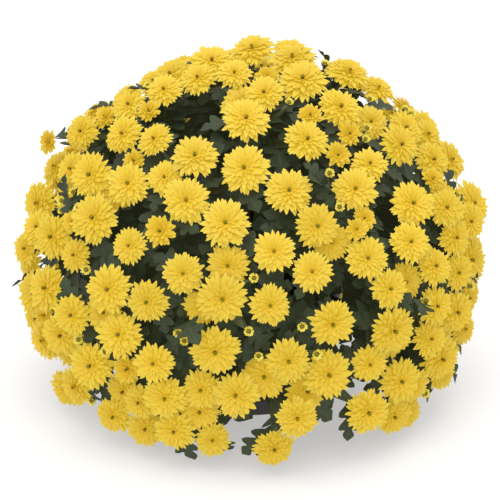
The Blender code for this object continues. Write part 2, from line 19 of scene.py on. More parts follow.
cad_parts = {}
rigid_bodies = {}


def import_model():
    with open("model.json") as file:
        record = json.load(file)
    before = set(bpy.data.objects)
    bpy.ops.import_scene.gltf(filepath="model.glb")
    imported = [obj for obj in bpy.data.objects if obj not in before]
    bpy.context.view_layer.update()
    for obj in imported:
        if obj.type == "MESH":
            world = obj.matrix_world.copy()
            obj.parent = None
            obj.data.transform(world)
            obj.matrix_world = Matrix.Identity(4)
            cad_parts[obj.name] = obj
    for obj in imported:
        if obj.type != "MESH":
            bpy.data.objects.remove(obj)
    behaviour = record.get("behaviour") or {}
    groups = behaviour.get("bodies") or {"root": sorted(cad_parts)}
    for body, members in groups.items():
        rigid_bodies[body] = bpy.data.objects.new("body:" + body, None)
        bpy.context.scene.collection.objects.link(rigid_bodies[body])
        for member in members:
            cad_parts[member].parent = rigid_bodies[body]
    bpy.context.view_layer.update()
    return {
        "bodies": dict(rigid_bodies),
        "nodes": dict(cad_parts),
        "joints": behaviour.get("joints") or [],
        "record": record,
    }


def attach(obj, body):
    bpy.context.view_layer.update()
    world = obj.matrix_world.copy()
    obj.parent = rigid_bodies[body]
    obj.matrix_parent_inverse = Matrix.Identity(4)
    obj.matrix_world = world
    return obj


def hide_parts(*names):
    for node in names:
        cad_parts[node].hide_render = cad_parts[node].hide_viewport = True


LOG = logging.getLogger("chrysanthemum")
SEED = 7
UP = Vector((0, 0, 1))
WELD = 1e-5
LEAF_SHAPES = 6
Colour = tuple[float, float, float, float]
Socket = bpy.types.NodeSocket
BMesh = bmesh.types.BMesh


class Growth(Enum):
    """How far a flower head has opened."""

    OPEN = "open"
    HALF = "half"
    BUD = "bud"


class HeadPart(IntEnum):
    """The parts of a flower head, in the order of its materials."""

    PETAL = 0
    EYE = 1
    CUP = 2
    PALE_PETAL = 3


@dataclass(frozen=True)
class Place:
    """Where a flower head or a leaf is, read from its solid.

    Attributes:
        centre: The middle of a head, or the foot of a leaf's blade.
        axis: The way a head faces, or the way a leaf runs.
        upper: A direction across the axis, which for a leaf is its upper side.
        size: A head's radius, or a leaf's length.
        growth: How far a head has opened.
        neck: The point where a head meets its stalk.
        foot: The point where the stalk leaves the spray's axis.
    """

    centre: Vector
    axis: Vector
    upper: Vector
    size: float
    growth: Growth = Growth.OPEN
    neck: Vector | None = None
    foot: Vector | None = None

    def across(self) -> Vector:
        """Gives the upper direction made square to the axis."""
        return (self.upper - self.axis * self.upper.dot(self.axis)).normalized()

    def matrix(self, turn: float) -> Matrix:
        """Gives the transform from a head's own unit frame, with its axis along +Z.

        Args:
            turn: A turn round the axis.

        Returns:
            The matrix that scales, turns and moves the unit shape into place.
        """
        side = self.across()
        frame = Matrix((side, self.axis.cross(side), self.axis)).transposed().to_4x4()
        turned = Matrix.Translation(self.centre) @ frame @ Matrix.Rotation(turn, 4, "Z")
        return turned @ Matrix.Scale(self.size, 4)

    def leaf_matrix(self) -> Matrix:
        """Gives the transform from a leaf's own unit frame, midrib along +X and upper side +Z.

        Returns:
            The matrix that scales, turns and moves the unit shape into place.
        """
        upper = self.across()
        frame = Matrix((self.axis, upper.cross(self.axis), upper)).transposed().to_4x4()
        return Matrix.Translation(self.centre) @ frame @ Matrix.Scale(self.size, 4)


def mean(points: list[Vector]) -> Vector:
    """Gives the middle of some points."""
    return sum(points, Vector()) / len(points)


class SolidReader:
    """Reads the places of flower heads and leaves from the solids of the frame.

    Attributes:
        HEAD_EDGES: The number of edges at a head's middle, with the growth that it tells.
        EVENNESS: The least share that a head's shortest edge from the middle is of its longest.
        LEAST_HEAD: The least length of such an edge.
        OVER_EDGES: The number of edges at the middle of a leaf's upper side.
        UNDER_EDGES: The same for its lower side.
        STEM_POINTS: How many of the rim's points belong to the stem.
    """

    HEAD_EDGES = {14: Growth.OPEN, 12: Growth.HALF, 5: Growth.BUD}
    EVENNESS = {Growth.OPEN: 0.7, Growth.HALF: 0.7, Growth.BUD: 0.995}
    LEAST_HEAD = 0.0045
    OVER_EDGES = 11
    UNDER_EDGES = 13
    RIM_EDGES = 4
    STEM_POINTS = 2
    TRIANGLE_WELD = 2e-6

    @classmethod
    def joined(cls, node: bpy.types.Object) -> BMesh:
        """Copies a solid's mesh with its loose triangles joined.

        Args:
            node: The solid's object.

        Returns:
            The joined copy, for the caller to free.
        """
        bm = bmesh.new()
        bm.from_mesh(node.data)
        bmesh.ops.remove_doubles(bm, verts=bm.verts, dist=cls.TRIANGLE_WELD)
        bm.verts.ensure_lookup_table()
        return bm

    @classmethod
    def heads(cls, bm: BMesh) -> list[tuple[Place, list[bmesh.types.BMVert]]]:
        """Finds the flower heads of a spray.

        Args:
            bm: The joined copy of the spray's solid.

        Returns:
            Each head's place with the vertices of its solid: its middle and its rim.
        """
        found = []
        for v in bm.verts:
            growth = cls.HEAD_EDGES.get(len(v.link_edges))
            if growth is None:
                continue
            rim = [e.other_vert(v) for e in v.link_edges]
            reaches = [(r.co - v.co).length for r in rim]
            if min(reaches) < cls.LEAST_HEAD or min(reaches) < max(reaches) * cls.EVENNESS[growth]:
                continue
            middle = mean([r.co for r in rim])
            axis = (v.co - middle).normalized()
            widest = max(rim, key=lambda r: (r.co - middle).length)
            side = widest.co - middle
            around = set(rim) | {v}
            neck = {e.other_vert(r) for r in rim for e in r.link_edges} - around
            foot = {e.other_vert(n) for n in neck for e in n.link_edges} - around - neck
            place = Place(middle, axis, side, side.length, growth, mean([n.co for n in neck]),
                          mean([f.co for f in foot]))
            found.append((place, [v, *rim]))
        return found

    @classmethod
    def leaves(cls, bm: BMesh) -> list[tuple[Place, list[bmesh.types.BMVert]]]:
        """Finds the leaves of a branch.

        Args:
            bm: The joined copy of the branch's solid.

        Returns:
            Each leaf's place with the vertices of its solid that aren't the stem's.
        """
        found = []
        for v in bm.verts:
            if len(v.link_edges) != cls.OVER_EDGES:
                continue
            rim = [e.other_vert(v) for e in v.link_edges]
            blade = [r for r in rim if len(r.link_edges) == cls.RIM_EDGES]
            if len(blade) != cls.OVER_EDGES - cls.STEM_POINTS:
                continue
            under = next(u for u in (e.other_vert(blade[0]) for e in blade[0].link_edges)
                         if len(u.link_edges) == cls.UNDER_EDGES)
            foot = mean([r.co for r in rim if r not in blade])
            tip = max(blade, key=lambda r: (r.co - foot).length).co
            upper = (v.co - under.co).normalized()
            along = tip - foot
            along -= upper * along.dot(upper)
            found.append((Place(foot, along.normalized(), upper, along.length), [v, under, *blade]))
        return found


class Shader:
    """A material's node tree, built from the surface shader back."""

    def __init__(self, name: str) -> None:
        """Makes the material with its surface shader.

        Args:
            name: The material's name.
        """
        self.material = bpy.data.materials.new(name)
        self.material.use_nodes = True
        self.tree = self.material.node_tree
        self.surface = self.tree.nodes["Principled BSDF"]

    def node(self, kind: str, settings: dict[str, object] | None = None,
             **inputs: object) -> bpy.types.Node:
        """Adds a node.

        Args:
            kind: The node's Blender type.
            settings: Values of the node's own properties.
            **inputs: Its sockets, by name with underscores for spaces or by number after an underscore.
                Each is a value, or a socket to link.

        Returns:
            The new node.
        """
        made = self.tree.nodes.new(kind)
        for key, value in (settings or {}).items():
            setattr(made, key, value)
        for key, value in inputs.items():
            name = int(key[1:]) if key[1:].isdigit() else key.replace("_", " ")
            self.feed(made.inputs[name], value)
        return made

    def feed(self, socket: Socket, value: object) -> None:
        """Links a socket to another one, or sets its value.

        Args:
            socket: The socket to feed.
            value: A value, or the socket to link.
        """
        if isinstance(value, Socket):
            self.tree.links.new(value, socket)
        else:
            socket.default_value = value

    def place(self) -> Socket:
        """Gives the surface's place in object coordinates."""
        return self.node("ShaderNodeTexCoord").outputs["Object"]

    def blade_place(self) -> tuple[Socket, Socket]:
        """Gives the places across and along a petal or a leaf, each from 0 to 1."""
        flat = self.node("ShaderNodeUVMap", {"uv_map": "UVMap"}).outputs[0]
        return tuple(self.node("ShaderNodeSeparateXYZ", Vector=flat).outputs)[:2]

    def attribute(self, name: str) -> Socket:
        """Gives a number that the mesh carries at each point."""
        return self.node("ShaderNodeAttribute", {"attribute_name": name}).outputs["Fac"]

    def noise(self, scale: float, detail: float, place: Socket | None = None) -> Socket:
        """Gives a noise pattern of a scale in repeats a metre."""
        where = place or self.place()
        return self.node("ShaderNodeTexNoise", Vector=where, Scale=scale, Detail=detail).outputs[0]

    def maths(self, operation: str, *values: object) -> Socket:
        """Gives the result of a sum on one to three values."""
        return self.node("ShaderNodeMath", {"operation": operation},
                         **{f"_{i}": v for i, v in enumerate(values)}).outputs[0]

    def ramp(self, share: Socket, *stops: tuple[float, Colour]) -> Socket:
        """Gives a colour that runs through stops.

        Args:
            share: The number that picks the colour.
            *stops: Each a place from 0 to 1 and its colour, the outermost two first.

        Returns:
            The colour socket.
        """
        made = self.node("ShaderNodeValToRGB", Fac=share)
        elements = made.color_ramp.elements
        for element, (at, colour) in zip(elements, stops):
            element.position, element.color = at, colour
        for at, colour in stops[2:]:
            elements.new(at).color = colour
        return made.outputs["Color"]

    def mix(self, share: object, low: object, high: object, blend: str = "MIX") -> Socket:
        """Gives a mix of two colours.

        Args:
            share: How much of the second colour, from 0 to 1.
            low: The first colour.
            high: The second colour.
            blend: The way they mix.

        Returns:
            The colour socket.
        """
        made = self.node("ShaderNodeMix", {"data_type": "RGBA", "blend_type": blend},
                         _0=share, _6=low, _7=high)
        return made.outputs[2]

    def bump(self, height: Socket, strength: float, distance: float) -> None:
        """Bumps the surface by a height pattern."""
        made = self.node("ShaderNodeBump", Strength=strength, Distance=distance, Height=height)
        self.feed(self.surface.inputs["Normal"], made.outputs[0])

    def finish(self, **inputs: object) -> bpy.types.Material:
        """Feeds the surface shader.

        Args:
            **inputs: Its sockets by name with underscores for spaces: each a value, or a socket to link.

        Returns:
            The material.
        """
        for key, value in inputs.items():
            self.feed(self.surface.inputs[key.replace("_", " ")], value)
        return self.material


@dataclass(frozen=True)
class PetalFinish:
    """Satin yellow petals with fine lengthwise veins, golden at the foot and pale at the tip: the golden
    foot is partly painted shade where the petals overlap, and the pale tip is partly a painted highlight.

    The glow is painted light: an even emission with no lamp behind it that lifts the shaded petals,
    standing for the light that passes through the thin petals.
    """

    name: str = "petal_yellow"
    # The golden root is partly painted shade where the petals overlap; the paler edge and tip are partly a
    # painted highlight.
    root: Colour = (0.52, 0.355, 0.014, 1)
    blade: Colour = (0.50, 0.370, 0.026, 1)
    edge: Colour = (0.50, 0.395, 0.042, 1)
    tip: Colour = (0.53, 0.48, 0.18, 1)
    heart: Colour = (0.47, 0.280, 0.012, 1)
    # Painted light: the petals' own glow and its strength, which lift their shade.
    glow: Colour = (0.80, 0.56, 0.022, 1)
    glow_strength: float = 0.28
    heart_share: float = 0.6
    tone_least: float = 0.93
    tone_range: float = 0.10
    patch_share: float = 0.08
    veins: float = 40.0
    vein_height: float = 0.5
    roughness: float = 0.55

    def material(self) -> bpy.types.Material:
        """Builds the petals' material.

        Returns:
            The material.
        """
        s = Shader(self.name)
        across, along = s.blade_place()
        # Ramp along the petal: the golden foot is partly painted shade, and the pale tip is partly a
        # painted highlight.
        blade = s.ramp(along, (0.0, self.root), (1.0, self.tip), (0.45, self.blade), (0.85, self.edge))
        inner = s.mix(s.maths("MULTIPLY", s.attribute("inner"), self.heart_share), blade, self.heart)
        tone = s.maths("MULTIPLY_ADD", s.attribute("tone"), self.tone_range, self.tone_least)
        grey = s.node("ShaderNodeCombineColor", _0=tone, _1=tone, _2=tone).outputs[0]
        toned = s.mix(1.0, inner, grey, "MULTIPLY")
        patch = s.maths("MULTIPLY", s.noise(scale=220, detail=2), self.patch_share)
        colour = s.mix(patch, toned, self.heart)
        veins = s.maths("SINE", s.maths("MULTIPLY", across, self.veins))
        s.bump(s.maths("MULTIPLY", veins, self.vein_height), strength=0.15, distance=0.0002)
        # The emission here is painted light that lifts the petals' shade.
        return s.finish(Base_Color=colour, Roughness=self.roughness, Specular_IOR_Level=0.3,
                        Emission_Color=self.glow, Emission_Strength=self.glow_strength)


PALE_BUD = PetalFinish(
    name="petal_pale",
    root=(0.45, 0.38, 0.04, 1),
    blade=(0.62, 0.55, 0.10, 1),
    edge=(0.70, 0.65, 0.18, 1),
    tip=(0.74, 0.72, 0.30, 1),
)


@dataclass(frozen=True)
class EyeFinish:
    """The grainy olive-green eye in the middle of a bloom."""

    colour: Colour = (0.30, 0.225, 0.014, 1)
    dark: Colour = (0.11, 0.09, 0.010, 1)

    def material(self) -> bpy.types.Material:
        """Builds the eye's material.

        Returns:
            The material.
        """
        s = Shader("eye_olive")
        grain = s.noise(scale=2600, detail=2)
        s.bump(grain, strength=0.6, distance=0.0004)
        return s.finish(Base_Color=s.ramp(grain, (0.35, self.dark), (0.65, self.colour)),
                        Roughness=0.9, Specular_IOR_Level=0.1)


@dataclass(frozen=True)
class LeafFinish:
    """Matt dark green leaves with a paler midrib and side veins that slant towards the tip.

    The glow is painted light: an even emission with no lamp behind it that lifts the leaves' deepest
    shade, standing for the light that passes through the blades.
    """

    dark: Colour = (0.0145, 0.0210, 0.0085, 1)
    light: Colour = (0.028, 0.042, 0.018, 1)
    vein: Colour = (0.050, 0.072, 0.034, 1)
    # Painted light: the leaves' own glow, which lifts their deepest shade.
    glow: Colour = (0.0100, 0.0112, 0.0046, 1)
    midrib: float = 0.035
    side_veins: float = 9.0
    slant: float = 3.0
    side_width: float = 0.045
    side_share: float = 0.5
    vein_share: float = 0.55
    vein_depth: float = 0.6

    def material(self) -> bpy.types.Material:
        """Builds the leaves' material.

        Returns:
            The material.
        """
        s = Shader("leaf_green")
        across, along = s.blade_place()
        beside = s.maths("ABSOLUTE", s.maths("SUBTRACT", across, 0.5))
        midrib = s.maths("LESS_THAN", beside, self.midrib)
        slant = s.maths("SUBTRACT", s.maths("MULTIPLY", along, self.side_veins),
                        s.maths("MULTIPLY", beside, self.slant))
        side = s.maths("LESS_THAN", s.maths("PINGPONG", slant, 0.5), self.side_width)
        veins = s.maths("MAXIMUM", midrib, s.maths("MULTIPLY", side, self.side_share))
        patch = s.ramp(s.noise(scale=60, detail=4), (0.35, self.dark), (0.7, self.light))
        toned = s.mix(s.attribute("tone"), patch, self.light)
        relief = s.maths("SUBTRACT", s.noise(scale=700, detail=3),
                         s.maths("MULTIPLY", veins, self.vein_depth))
        s.bump(relief, strength=0.35, distance=0.0006)
        colour = s.mix(s.maths("MULTIPLY", veins, self.vein_share), toned, self.vein)
        # The emission here is painted light that lifts the leaves' shade.
        return s.finish(Base_Color=colour, Roughness=0.62, Specular_IOR_Level=0.30,
                        Emission_Color=self.glow, Emission_Strength=1.0)


@dataclass(frozen=True)
class StalkFinish:
    """Green stalks and cups, with a faint glow that is painted light: an even emission that lifts their
    shade, standing for the light that passes through them.
    """

    dark: Colour = (0.034, 0.048, 0.016, 1)
    light: Colour = (0.08, 0.105, 0.036, 1)
    # Painted light: the stalks' own faint glow, which lifts their shade.
    glow: Colour = (0.0125, 0.0130, 0.0050, 1)

    def material(self) -> bpy.types.Material:
        """Builds the stalks' material.

        Returns:
            The material.
        """
        s = Shader("stalk_green")
        grain = s.noise(scale=400, detail=4)
        s.bump(grain, strength=0.3, distance=0.0003)
        # The emission here is painted light that lifts the stalks' shade.
        return s.finish(Base_Color=s.ramp(grain, (0.3, self.dark), (0.75, self.light)),
                        Roughness=0.65, Emission_Color=self.glow, Emission_Strength=1.0)


@dataclass(frozen=True)
class BarkFinish:
    """The bark of the woody base, with a grain that runs up the stem."""

    dark: Colour = (0.05, 0.038, 0.02, 1)
    light: Colour = (0.16, 0.13, 0.07, 1)

    def material(self) -> bpy.types.Material:
        """Builds the bark's material.

        Returns:
            The material.
        """
        s = Shader("bark_brown")
        stretched = s.node("ShaderNodeMapping", Vector=s.place(), Scale=(1.0, 1.0, 0.25)).outputs[0]
        grain = s.noise(scale=700, detail=6, place=stretched)
        s.bump(grain, strength=0.7, distance=0.0012)
        return s.finish(Base_Color=s.ramp(grain, (0.35, self.dark), (0.7, self.light)),
                        Roughness=0.85)


@dataclass(frozen=True)
class SoilFinish:
    """Loose dark potting soil with pale grains, which lie in some places and not in others."""

    peat: Colour = (0.012, 0.008, 0.005, 1)
    crumb: Colour = (0.06, 0.038, 0.022, 1)
    grain: Colour = (0.55, 0.52, 0.46, 1)
    grain_size: float = 0.22
    drift_edge: float = 0.6

    def material(self) -> bpy.types.Material:
        """Builds the soil's material.

        Returns:
            The material.
        """
        s = Shader("soil_brown")
        crumbs = s.noise(scale=420, detail=8)
        peat = s.ramp(crumbs, (0.35, self.peat), (0.7, self.crumb))
        cells = s.node("ShaderNodeTexVoronoi", Vector=s.place(), Scale=260.0)
        pale = s.maths("MULTIPLY", s.maths("LESS_THAN", cells.outputs["Distance"], self.grain_size),
                       s.maths("GREATER_THAN", s.noise(scale=90, detail=1), self.drift_edge))
        s.bump(crumbs, strength=1.0, distance=0.003)
        return s.finish(Base_Color=s.mix(pale, peat, self.grain), Roughness=0.95)


@dataclass(frozen=True)
class PotFinish:
    """Moulded dark plastic with a fine grain, and dust towards the foot."""

    plastic: Colour = (0.020, 0.020, 0.022, 1)
    dust: Colour = (0.06, 0.052, 0.042, 1)
    dust_fade: float = 14.0
    dust_least: float = 0.08
    rough_least: float = 0.35
    rough_range: float = 0.25

    def material(self) -> bpy.types.Material:
        """Builds the pot's material.

        Returns:
            The material.
        """
        s = Shader("pot_black")
        s.bump(s.noise(scale=1800, detail=2), strength=0.12, distance=0.0003)
        height = s.node("ShaderNodeSeparateXYZ", Vector=s.place()).outputs[2]
        low = s.maths("SUBTRACT", 1.0, s.maths("MULTIPLY", height, self.dust_fade))
        dusty = s.maths("MULTIPLY", s.maths("MAXIMUM", low, self.dust_least),
                        s.noise(scale=35, detail=5))
        rough = s.maths("MULTIPLY_ADD", s.noise(scale=120, detail=3), self.rough_range,
                        self.rough_least)
        return s.finish(Base_Color=s.mix(dusty, self.plastic, self.dust), Roughness=rough)


@dataclass(frozen=True)
class FloorFinish:
    """A pale matt floor, with a glow of its own that keeps it near white."""

    colour: Colour = (0.52, 0.515, 0.51, 1)
    glow: Colour = (1, 0.99, 0.98, 1)

    def material(self) -> bpy.types.Material:
        """Builds the floor's material."""
        return Shader("floor_white").finish(
            Base_Color=self.colour, Roughness=0.9, Specular_IOR_Level=0.1, Emission_Color=self.glow,
            Emission_Strength=0.44)


def finished_object(name: str, bm: BMesh, materials: list[bpy.types.Material],
                    crease: float | None = None) -> bpy.types.Object:
    """Makes a piece's object from its mesh, lets it ride on the plant, and frees the mesh under work.

    Args:
        name: The piece's name.
        bm: The mesh, which is freed.
        materials: The materials in the order of the faces' indices.
        crease: The angle past which an edge is shaded sharp, or None for none.

    Returns:
        The object.
    """
    mesh = bpy.data.meshes.new(name)
    for f in bm.faces:
        f.smooth = True
    for e in bm.edges if crease else ():
        e.smooth = e.calc_face_angle(0.0) < crease
    bm.to_mesh(mesh)
    bm.free()
    for m in materials:
        mesh.materials.append(m)
    made = bpy.data.objects.new(name, mesh)
    bpy.context.scene.collection.objects.link(made)
    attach(made, "root")
    LOG.info("%s: %d faces", name, len(mesh.polygons))
    return made


def template_mesh(name: str, bm: BMesh) -> bpy.types.Mesh:
    """Keeps a shape as a mesh that copies are taken from, and frees the mesh under work.

    Args:
        name: The shape's name.
        bm: The mesh, which is freed.

    Returns:
        The shape, with the numbers that the materials read.
    """
    numbers = bm.verts.layers.float
    for layer in ("tone", "inner"):
        if numbers.get(layer) is None:
            numbers.new(layer)
    mesh = bpy.data.meshes.new(name)
    bm.to_mesh(mesh)
    bm.free()
    return mesh


def add_copy(bm: BMesh, template: bpy.types.Mesh, matrix: Matrix, tone: float) -> None:
    """Adds a copy of a shape to a mesh under work.

    Args:
        bm: The mesh under work.
        template: The shape.
        matrix: Where the copy goes.
        tone: How light the copy is, from 0 to 1.
    """
    copy = template.copy()
    copy.transform(matrix)
    copy.attributes["tone"].data.foreach_set("value", [tone] * len(copy.vertices))
    bm.from_mesh(copy)
    bpy.data.meshes.remove(copy)


def round_off(bm: BMesh) -> None:
    """Closes the holes in thin stems, rounds them and gives them a mesh of small faces.

    Args:
        bm: The mesh under work.
    """
    bmesh.ops.holes_fill(bm, edges=bm.edges, sides=4)
    bmesh.ops.subdivide_edges(bm, edges=bm.edges, cuts=1, use_grid_fill=True, smooth=0.6)
    bmesh.ops.smooth_vert(bm, verts=bm.verts, factor=0.3, use_axis_x=True, use_axis_y=True,
                          use_axis_z=True)
    bmesh.ops.recalc_face_normals(bm, faces=bm.faces)


@dataclass(frozen=True)
class PetalRow:
    """One ring of petals of a bloom, in shares of the bloom's radius.

    Attributes:
        count: How many petals.
        length: Their length along the midline.
        width: Their greatest width.
        root: How far from the axis they start.
        height: The height at which they start.
        pitch: The angle above level at which they leave.
        curl: How much they bend down from root to tip.
    """

    count: int
    length: float
    width: float
    root: float
    height: float
    pitch: float
    curl: float


@dataclass(frozen=True)
class CupShape:
    """The green cup that holds the petals, with its pointed scales, in shares of the bloom's radius."""

    radius: float
    depth: float
    foot: float = 0.35
    sides: int = 8
    scale_start: float = 0.5
    scale_run: float = 0.75
    scale_width: float = 0.7
    scale_taper: float = 0.9
    scale_drop: float = 0.75
    scale_lift: float = 0.1

    def add(self, bm: BMesh) -> None:
        """Adds the cup and its scales.

        Args:
            bm: The mesh under work.
        """
        before = set(bm.faces)
        cone = bmesh.ops.create_cone(bm, cap_ends=True, segments=self.sides, depth=self.depth,
                                     radius1=self.radius * self.foot, radius2=self.radius)["verts"]
        bmesh.ops.translate(bm, verts=cone, vec=-UP * self.depth / 2)
        for i in range(self.sides):
            scale = bmesh.ops.create_grid(bm, x_segments=1, y_segments=2, size=0.5)["verts"]
            for v in scale:
                share = v.co.y + 0.5
                reach = self.radius * (self.scale_start + self.scale_run * share)
                wide = v.co.x * self.radius * self.scale_width * (1 - share * self.scale_taper)
                drop = -self.depth * self.scale_drop * (1 - share)
                v.co = Vector((reach, wide, drop + self.radius * self.scale_lift * share))
            turn = Matrix.Rotation(math.tau * i / self.sides, 3, "Z")
            bmesh.ops.rotate(bm, verts=scale, cent=Vector(), matrix=turn)
        for f in set(bm.faces) - before:
            f.material_index = HeadPart.CUP


@dataclass(frozen=True)
class BloomShape:
    """A flower head of unit radius: rings of petals on a green cup, round an eye.

    Attributes:
        golden: How golden the outermost and the innermost ring are.
        turn_jitter: How far a petal may stand off its even place, as a share of the spacing.
        profile: A petal's outline: shares of its length, each with its share of the width.
    """

    growth: Growth
    rows: tuple[PetalRow, ...]
    eye: float
    eye_height: float
    cup: CupShape
    golden: tuple[float, float] = (0.0, 1.0)
    petal_part: HeadPart = HeadPart.PETAL
    size_jitter: float = 0.12
    pitch_jitter: float = 0.10
    sway: float = 0.16
    turn_jitter: float = 0.26
    channel: float = 0.07
    profile: tuple[tuple[float, float], ...] = (
        (0.0, 0.44), (0.32, 0.84), (0.62, 1.0), (0.81, 0.80), (0.92, 0.44), (1.0, 0.0))
    eye_flatness: float = 0.6

    def petal(self, bm: BMesh, row: PetalRow, turn: float, inner: float, rng: random.Random) -> None:
        """Adds one petal: a narrow blade with a point, channelled along its midline.

        Args:
            bm: The mesh under work.
            row: The ring that it belongs to.
            turn: Its place round the axis.
            inner: How golden it is.
            rng: The source of random draws.
        """
        length = row.length * (1 + rng.uniform(-1, 1) * self.size_jitter)
        width = row.width * (1 + rng.uniform(-1, 1) * self.size_jitter)
        pitch = row.pitch + rng.uniform(-self.pitch_jitter, self.pitch_jitter)
        sway = rng.uniform(-self.sway, self.sway)
        last = len(self.profile) - 1
        grid = bmesh.ops.create_grid(bm, x_segments=2, y_segments=last, size=0.5, calc_uvs=True)["verts"]
        mark = bm.verts.layers.float["inner"]
        shares = [share for share, _ in self.profile]
        angles = [pitch - row.curl * share for share in shares]
        out = [row.root]
        high = [row.height]
        for i in range(1, last + 1):
            middle = (angles[i] + angles[i - 1]) / 2
            step = (shares[i] - shares[i - 1]) * length
            out.append(out[-1] + math.cos(middle) * step)
            high.append(high[-1] + math.sin(middle) * step)
        for v in grid:
            i = round((v.co.y + 0.5) * last)
            share, wide = self.profile[i]
            fold = abs(v.co.x) * 2 * width * self.channel * (1 - share)
            aside = v.co.x * width * wide + sway * length * share * share
            v.co = Vector((out[i] - math.sin(angles[i]) * fold, aside,
                           high[i] + math.cos(angles[i]) * fold))
            v[mark] = inner
        bmesh.ops.rotate(bm, verts=grid, cent=Vector(), matrix=Matrix.Rotation(turn, 3, "Z"))

    def mesh(self, name: str, rng: random.Random) -> bpy.types.Mesh:
        """Builds the whole head.

        Args:
            name: The shape's name.
            rng: The source of random draws.

        Returns:
            The head as a mesh to copy, with its faces' materials in the order of HeadPart.
        """
        bm = bmesh.new()
        bm.loops.layers.uv.new("UVMap")
        bm.verts.layers.float.new("inner")
        low, high = self.golden
        for level, row in enumerate(self.rows):
            first = rng.uniform(0, math.tau)
            inner = low + (high - low) * level / (len(self.rows) - 1)
            for i in range(row.count):
                aside = rng.uniform(-self.turn_jitter, self.turn_jitter)
                self.petal(bm, row, first + math.tau * (i + aside) / row.count, inner, rng)
        bmesh.ops.remove_doubles(bm, verts=bm.verts, dist=WELD)
        for f in bm.faces:
            f.material_index = self.petal_part
        self.add_eye(bm)
        self.cup.add(bm)
        return template_mesh(name, bm)

    def add_eye(self, bm: BMesh) -> None:
        """Adds the eye: a low dome in the middle.

        Args:
            bm: The mesh under work.
        """
        before = set(bm.faces)
        eye = bmesh.ops.create_icosphere(bm, subdivisions=1, radius=self.eye)["verts"]
        bmesh.ops.scale(bm, verts=eye, vec=Vector((1, 1, self.eye_flatness)))
        bmesh.ops.translate(bm, verts=eye, vec=UP * self.eye_height)
        for f in set(bm.faces) - before:
            f.material_index = HeadPart.EYE


OPEN_BLOOM = BloomShape(
    growth=Growth.OPEN,
    rows=(
        PetalRow(24, 0.86, 0.215, 0.13, -0.04, 0.04, 0.32),
        PetalRow(24, 0.82, 0.210, 0.13, -0.01, 0.13, 0.32),
        PetalRow(22, 0.75, 0.205, 0.12, 0.02, 0.23, 0.33),
        PetalRow(20, 0.65, 0.190, 0.11, 0.05, 0.35, 0.34),
        PetalRow(17, 0.54, 0.170, 0.09, 0.07, 0.50, 0.36),
        PetalRow(13, 0.41, 0.140, 0.08, 0.09, 0.68, 0.36),
        PetalRow(9, 0.29, 0.110, 0.07, 0.11, 0.90, 0.30),
    ),
    eye=0.085,
    eye_height=0.225,
    cup=CupShape(0.26, 0.40),
)
HALF_BLOOM = BloomShape(
    growth=Growth.HALF,
    rows=(
        PetalRow(15, 0.86, 0.33, 0.16, 0.0, 0.28, 0.30),
        PetalRow(14, 0.80, 0.31, 0.15, 0.06, 0.55, 0.32),
        PetalRow(12, 0.66, 0.27, 0.13, 0.10, 0.84, 0.34),
        PetalRow(9, 0.50, 0.22, 0.09, 0.12, 1.12, 0.30),
    ),
    eye=0.09,
    eye_height=0.38,
    cup=CupShape(0.34, 0.45),
    golden=(0.4, 1.4),
)
OPENING_BUD = BloomShape(
    growth=Growth.BUD,
    rows=(
        PetalRow(13, 0.52, 0.40, 0.56, 0.02, 0.55, -0.35),
        PetalRow(11, 0.40, 0.36, 0.44, 0.10, 0.80, -0.30),
    ),
    eye=0.42,
    eye_height=0.06,
    cup=CupShape(0.78, 0.95),
    golden=(0.0, 0.0),
    petal_part=HeadPart.PALE_PETAL,
)


@dataclass
class BloomStock:
    """The shapes of heads that the sprays take their copies from."""

    variants: int = 5
    shapes: dict[Growth, list[bpy.types.Mesh]] = field(default_factory=dict)

    def build(self, rng: random.Random) -> None:
        """Builds the variants of each growth.

        Args:
            rng: The source of random draws.
        """
        for shape in (OPEN_BLOOM, HALF_BLOOM, OPENING_BUD):
            names = [f"{shape.growth.value}_{i}" for i in range(self.variants)]
            self.shapes[shape.growth] = [shape.mesh(name, rng) for name in names]


@dataclass
class FlowerSpray:
    """A spray's fine blooms and stalks, which stand for its solid."""

    node: bpy.types.Object
    stock: BloomStock
    head_materials: list[bpy.types.Material]
    stalk: bpy.types.Material

    def build(self, rng: random.Random) -> list[Place]:
        """Builds the blooms and the stalks.

        Args:
            rng: The source of random draws.

        Returns:
            The places of the heads.
        """
        number = self.node.name[-2:]
        solid = SolidReader.joined(self.node)
        found = SolidReader.heads(solid)
        blooms = bmesh.new()
        for place, _ in found:
            shape = rng.choice(self.stock.shapes[place.growth])
            add_copy(blooms, shape, place.matrix(rng.uniform(0, math.tau)), rng.random())
        made = finished_object(f"spray_blooms_{number}", blooms, self.head_materials)
        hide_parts(self.node.name)
        heads = [v for _, verts in found for v in verts]
        bmesh.ops.delete(solid, geom=heads, context="VERTS")
        round_off(solid)
        finished_object(f"spray_stalks_{number}", solid, [self.stalk])
        return [place for place, _ in found]


